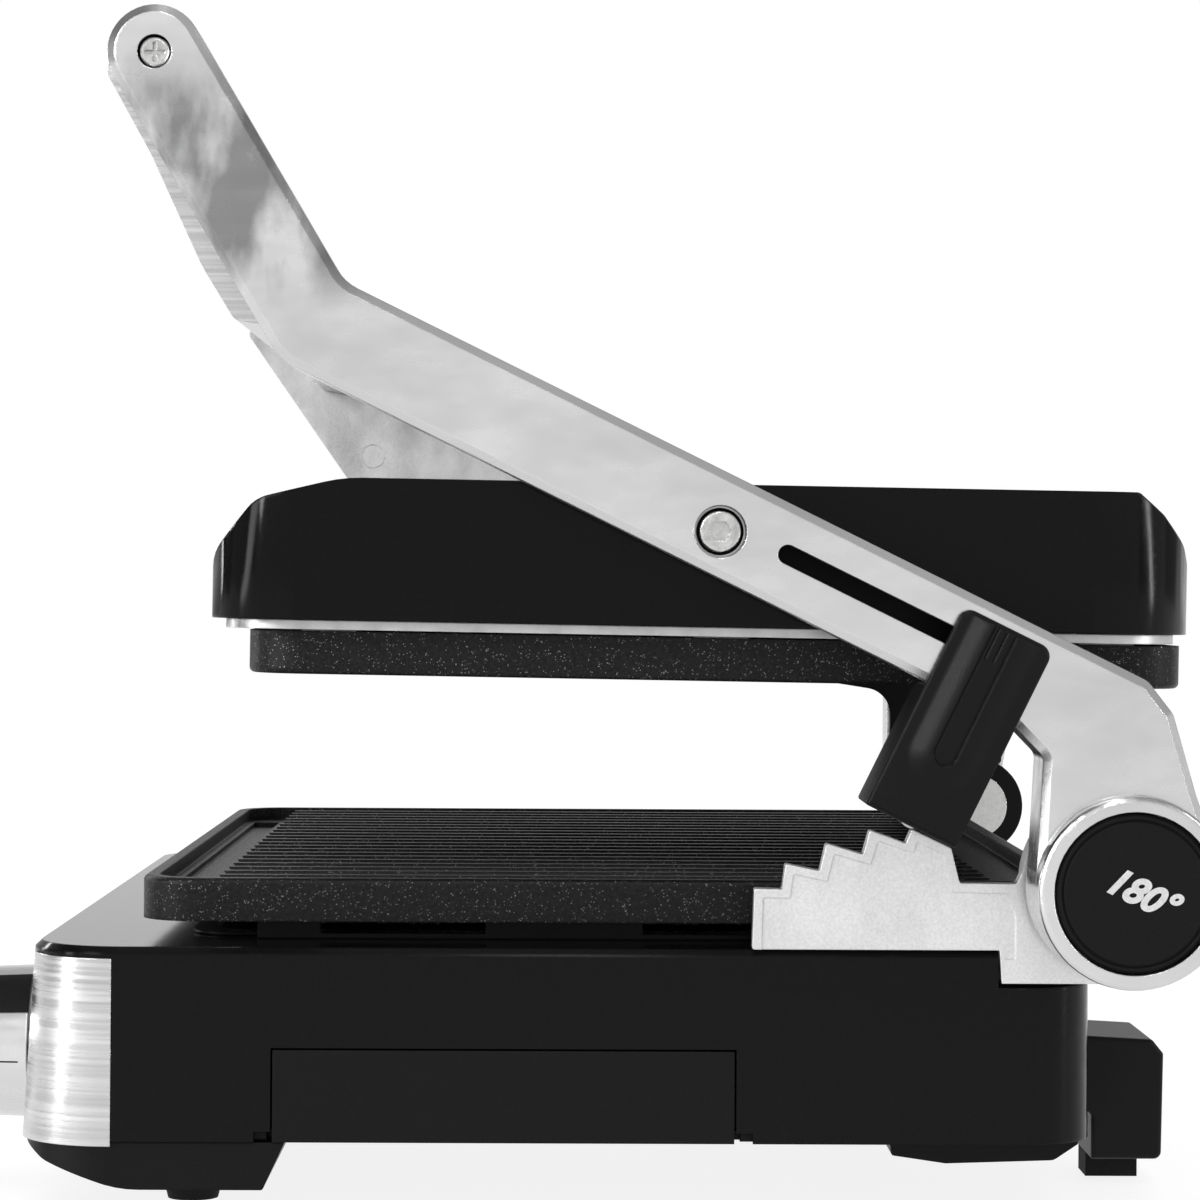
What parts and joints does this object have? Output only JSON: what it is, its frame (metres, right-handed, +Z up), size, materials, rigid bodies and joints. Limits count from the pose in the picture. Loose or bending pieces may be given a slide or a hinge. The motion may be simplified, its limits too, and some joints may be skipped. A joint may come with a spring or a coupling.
{
  "type": "panini press",
  "caption": "Countertop panini press with a floating ribbed lid on two cast arms, a height slider on a toothed rack, flat-opening hinges, a front knob and a side drip tray.",
  "frame": {"origin": "centre of the footprint on the surface the feet stand on", "axes": "+Z up, -Y towards the front with the knob, +X towards the side with the height slider and the drip tray"},
  "size_m": [0.3916, 0.3216, 0.2965],
  "materials": {
    "gloss_black": "gloss",
    "satin_black": "satin",
    "nonstick_coat": "fine speckled non-stick coating",
    "polished_casting": "polished",
    "matt_casting": "satin cast",
    "brushed_stainless": "brushed",
    "zinc_steel": "satin",
    "turned_steel": "turned",
    "rubber_foot": "matt",
    "lens": "clear dark gloss",
    "moulded_inside": "plain"
  },
  "bodies": {
    "base": {"base_shell": "gloss_black", "base_bottom_cover": "satin_black", "front_panel": "brushed_stainless", "display_lens": "lens", "lower_plate": "nonstick_coat", "lower_reflector": "satin_black", "lower_heating_element": "turned_steel", "lower_plate_rail_right": "satin_black", "lower_plate_rail_left": "satin_black", "hinge_bracket_right": "matt_casting", "hinge_bracket_left": "satin_black", "front_foot_right": "rubber_foot", "front_foot_left": "rubber_foot", "rear_block_right": "satin_black", "rear_block_left": "satin_black", "rear_foot_right": "rubber_foot", "rear_foot_left": "rubber_foot", "cord_gland": "satin_black", "control_board": "moulded_inside", "thermostat": "zinc_steel", "terminal_block": "moulded_inside", "rotary_control": "moulded_inside"},
    "drip_drawer": {"drip_tray": "zinc_steel", "drip_tray_front": "satin_black"},
    "hinge_core": {"hinge_shaft_right": "turned_steel", "hinge_shaft_left": "turned_steel"},
    "lid_arms": {"hinge_cap_left": "satin_black", "arm_right": "polished_casting", "arm_left": "polished_casting", "elbow_web_left": "matt_casting", "arm_cover_right": "satin_black", "arm_cover_left": "satin_black", "handle_shell": "brushed_stainless", "handle_grip": "satin_black", "handle_screw_right": "turned_steel", "handle_screw_left": "turned_steel"},
    "release_right": {"hinge_button_right": "satin_black"},
    "lid_pivot": {"pivot_bolt_right": "turned_steel", "pivot_bolt_left": "turned_steel"},
    "height_control": {"height_slider": "satin_black", "slider_pin": "turned_steel", "slider_peg": "turned_steel"},
    "lid": {"upper_shell": "gloss_black", "upper_top_panel": "brushed_stainless", "upper_frame": "zinc_steel", "upper_plate": "nonstick_coat", "upper_reflector": "zinc_steel", "upper_heating_element": "turned_steel", "pivot_lug_right": "matt_casting", "pivot_lug_left": "matt_casting"},
    "front_control": {"knob": "polished_casting", "knob_inlay": "satin_black", "knob_shaft": "turned_steel"}
  },
  "joints": [
    {"name": "lid_close", "type": "hinge", "parent": "base", "child": "hinge_core", "pos_m": [0, 0.1372, 0.0835], "axis": [-1, 0, 0], "range_deg": [-24.75, 0]},
    {"name": "lid_open", "type": "hinge", "parent": "hinge_core", "child": "lid_arms", "pos_m": [0, 0.1372, 0.0835], "axis": [-1, 0, 0], "range_deg": [0, 150]},
    {"name": "lid_level", "type": "hinge", "parent": "lid_arms", "child": "lid_pivot", "pos_m": [0, 0.0372, 0.1701], "axis": [-1, 0, 0], "range_deg": [-0.5, 24.1]},
    {"name": "lid_flat", "type": "hinge", "parent": "lid_pivot", "child": "lid", "pos_m": [0, 0.0372, 0.1701], "axis": [-1, 0, 0], "range_deg": [-0.5, 23.15]},
    {"name": "height_slide", "type": "slide", "parent": "lid_arms", "child": "height_control", "axis": [0, -0.898, 0.4399], "range_m": [0, 0.057]},
    {"name": "release_press", "type": "slide", "parent": "lid_arms", "child": "release_right", "axis": [-1, 0, 0], "range_m": [0, 0.003], "stiffness_N_per_m": 900, "springref_m": -0.002},
    {"name": "tray_pull", "type": "slide", "parent": "base", "child": "drip_drawer", "axis": [1, 0, 0], "range_m": [0, 0.15]},
    {"name": "knob_turn", "type": "hinge", "parent": "base", "child": "front_control", "pos_m": [0.112, -0.14, 0.037], "axis": [0, -1, 0], "range_deg": [-20, 250]}
  ],
  "couplings": [
    {"joint": "lid_level", "follows": "lid_close", "ratio": -0.9697},
    {"joint": "lid_flat", "follows": "lid_open", "ratio": 0.153},
    {"joint": "height_slide", "follows": "lid_close", "m_per_rad": -0.13172}
  ]
}
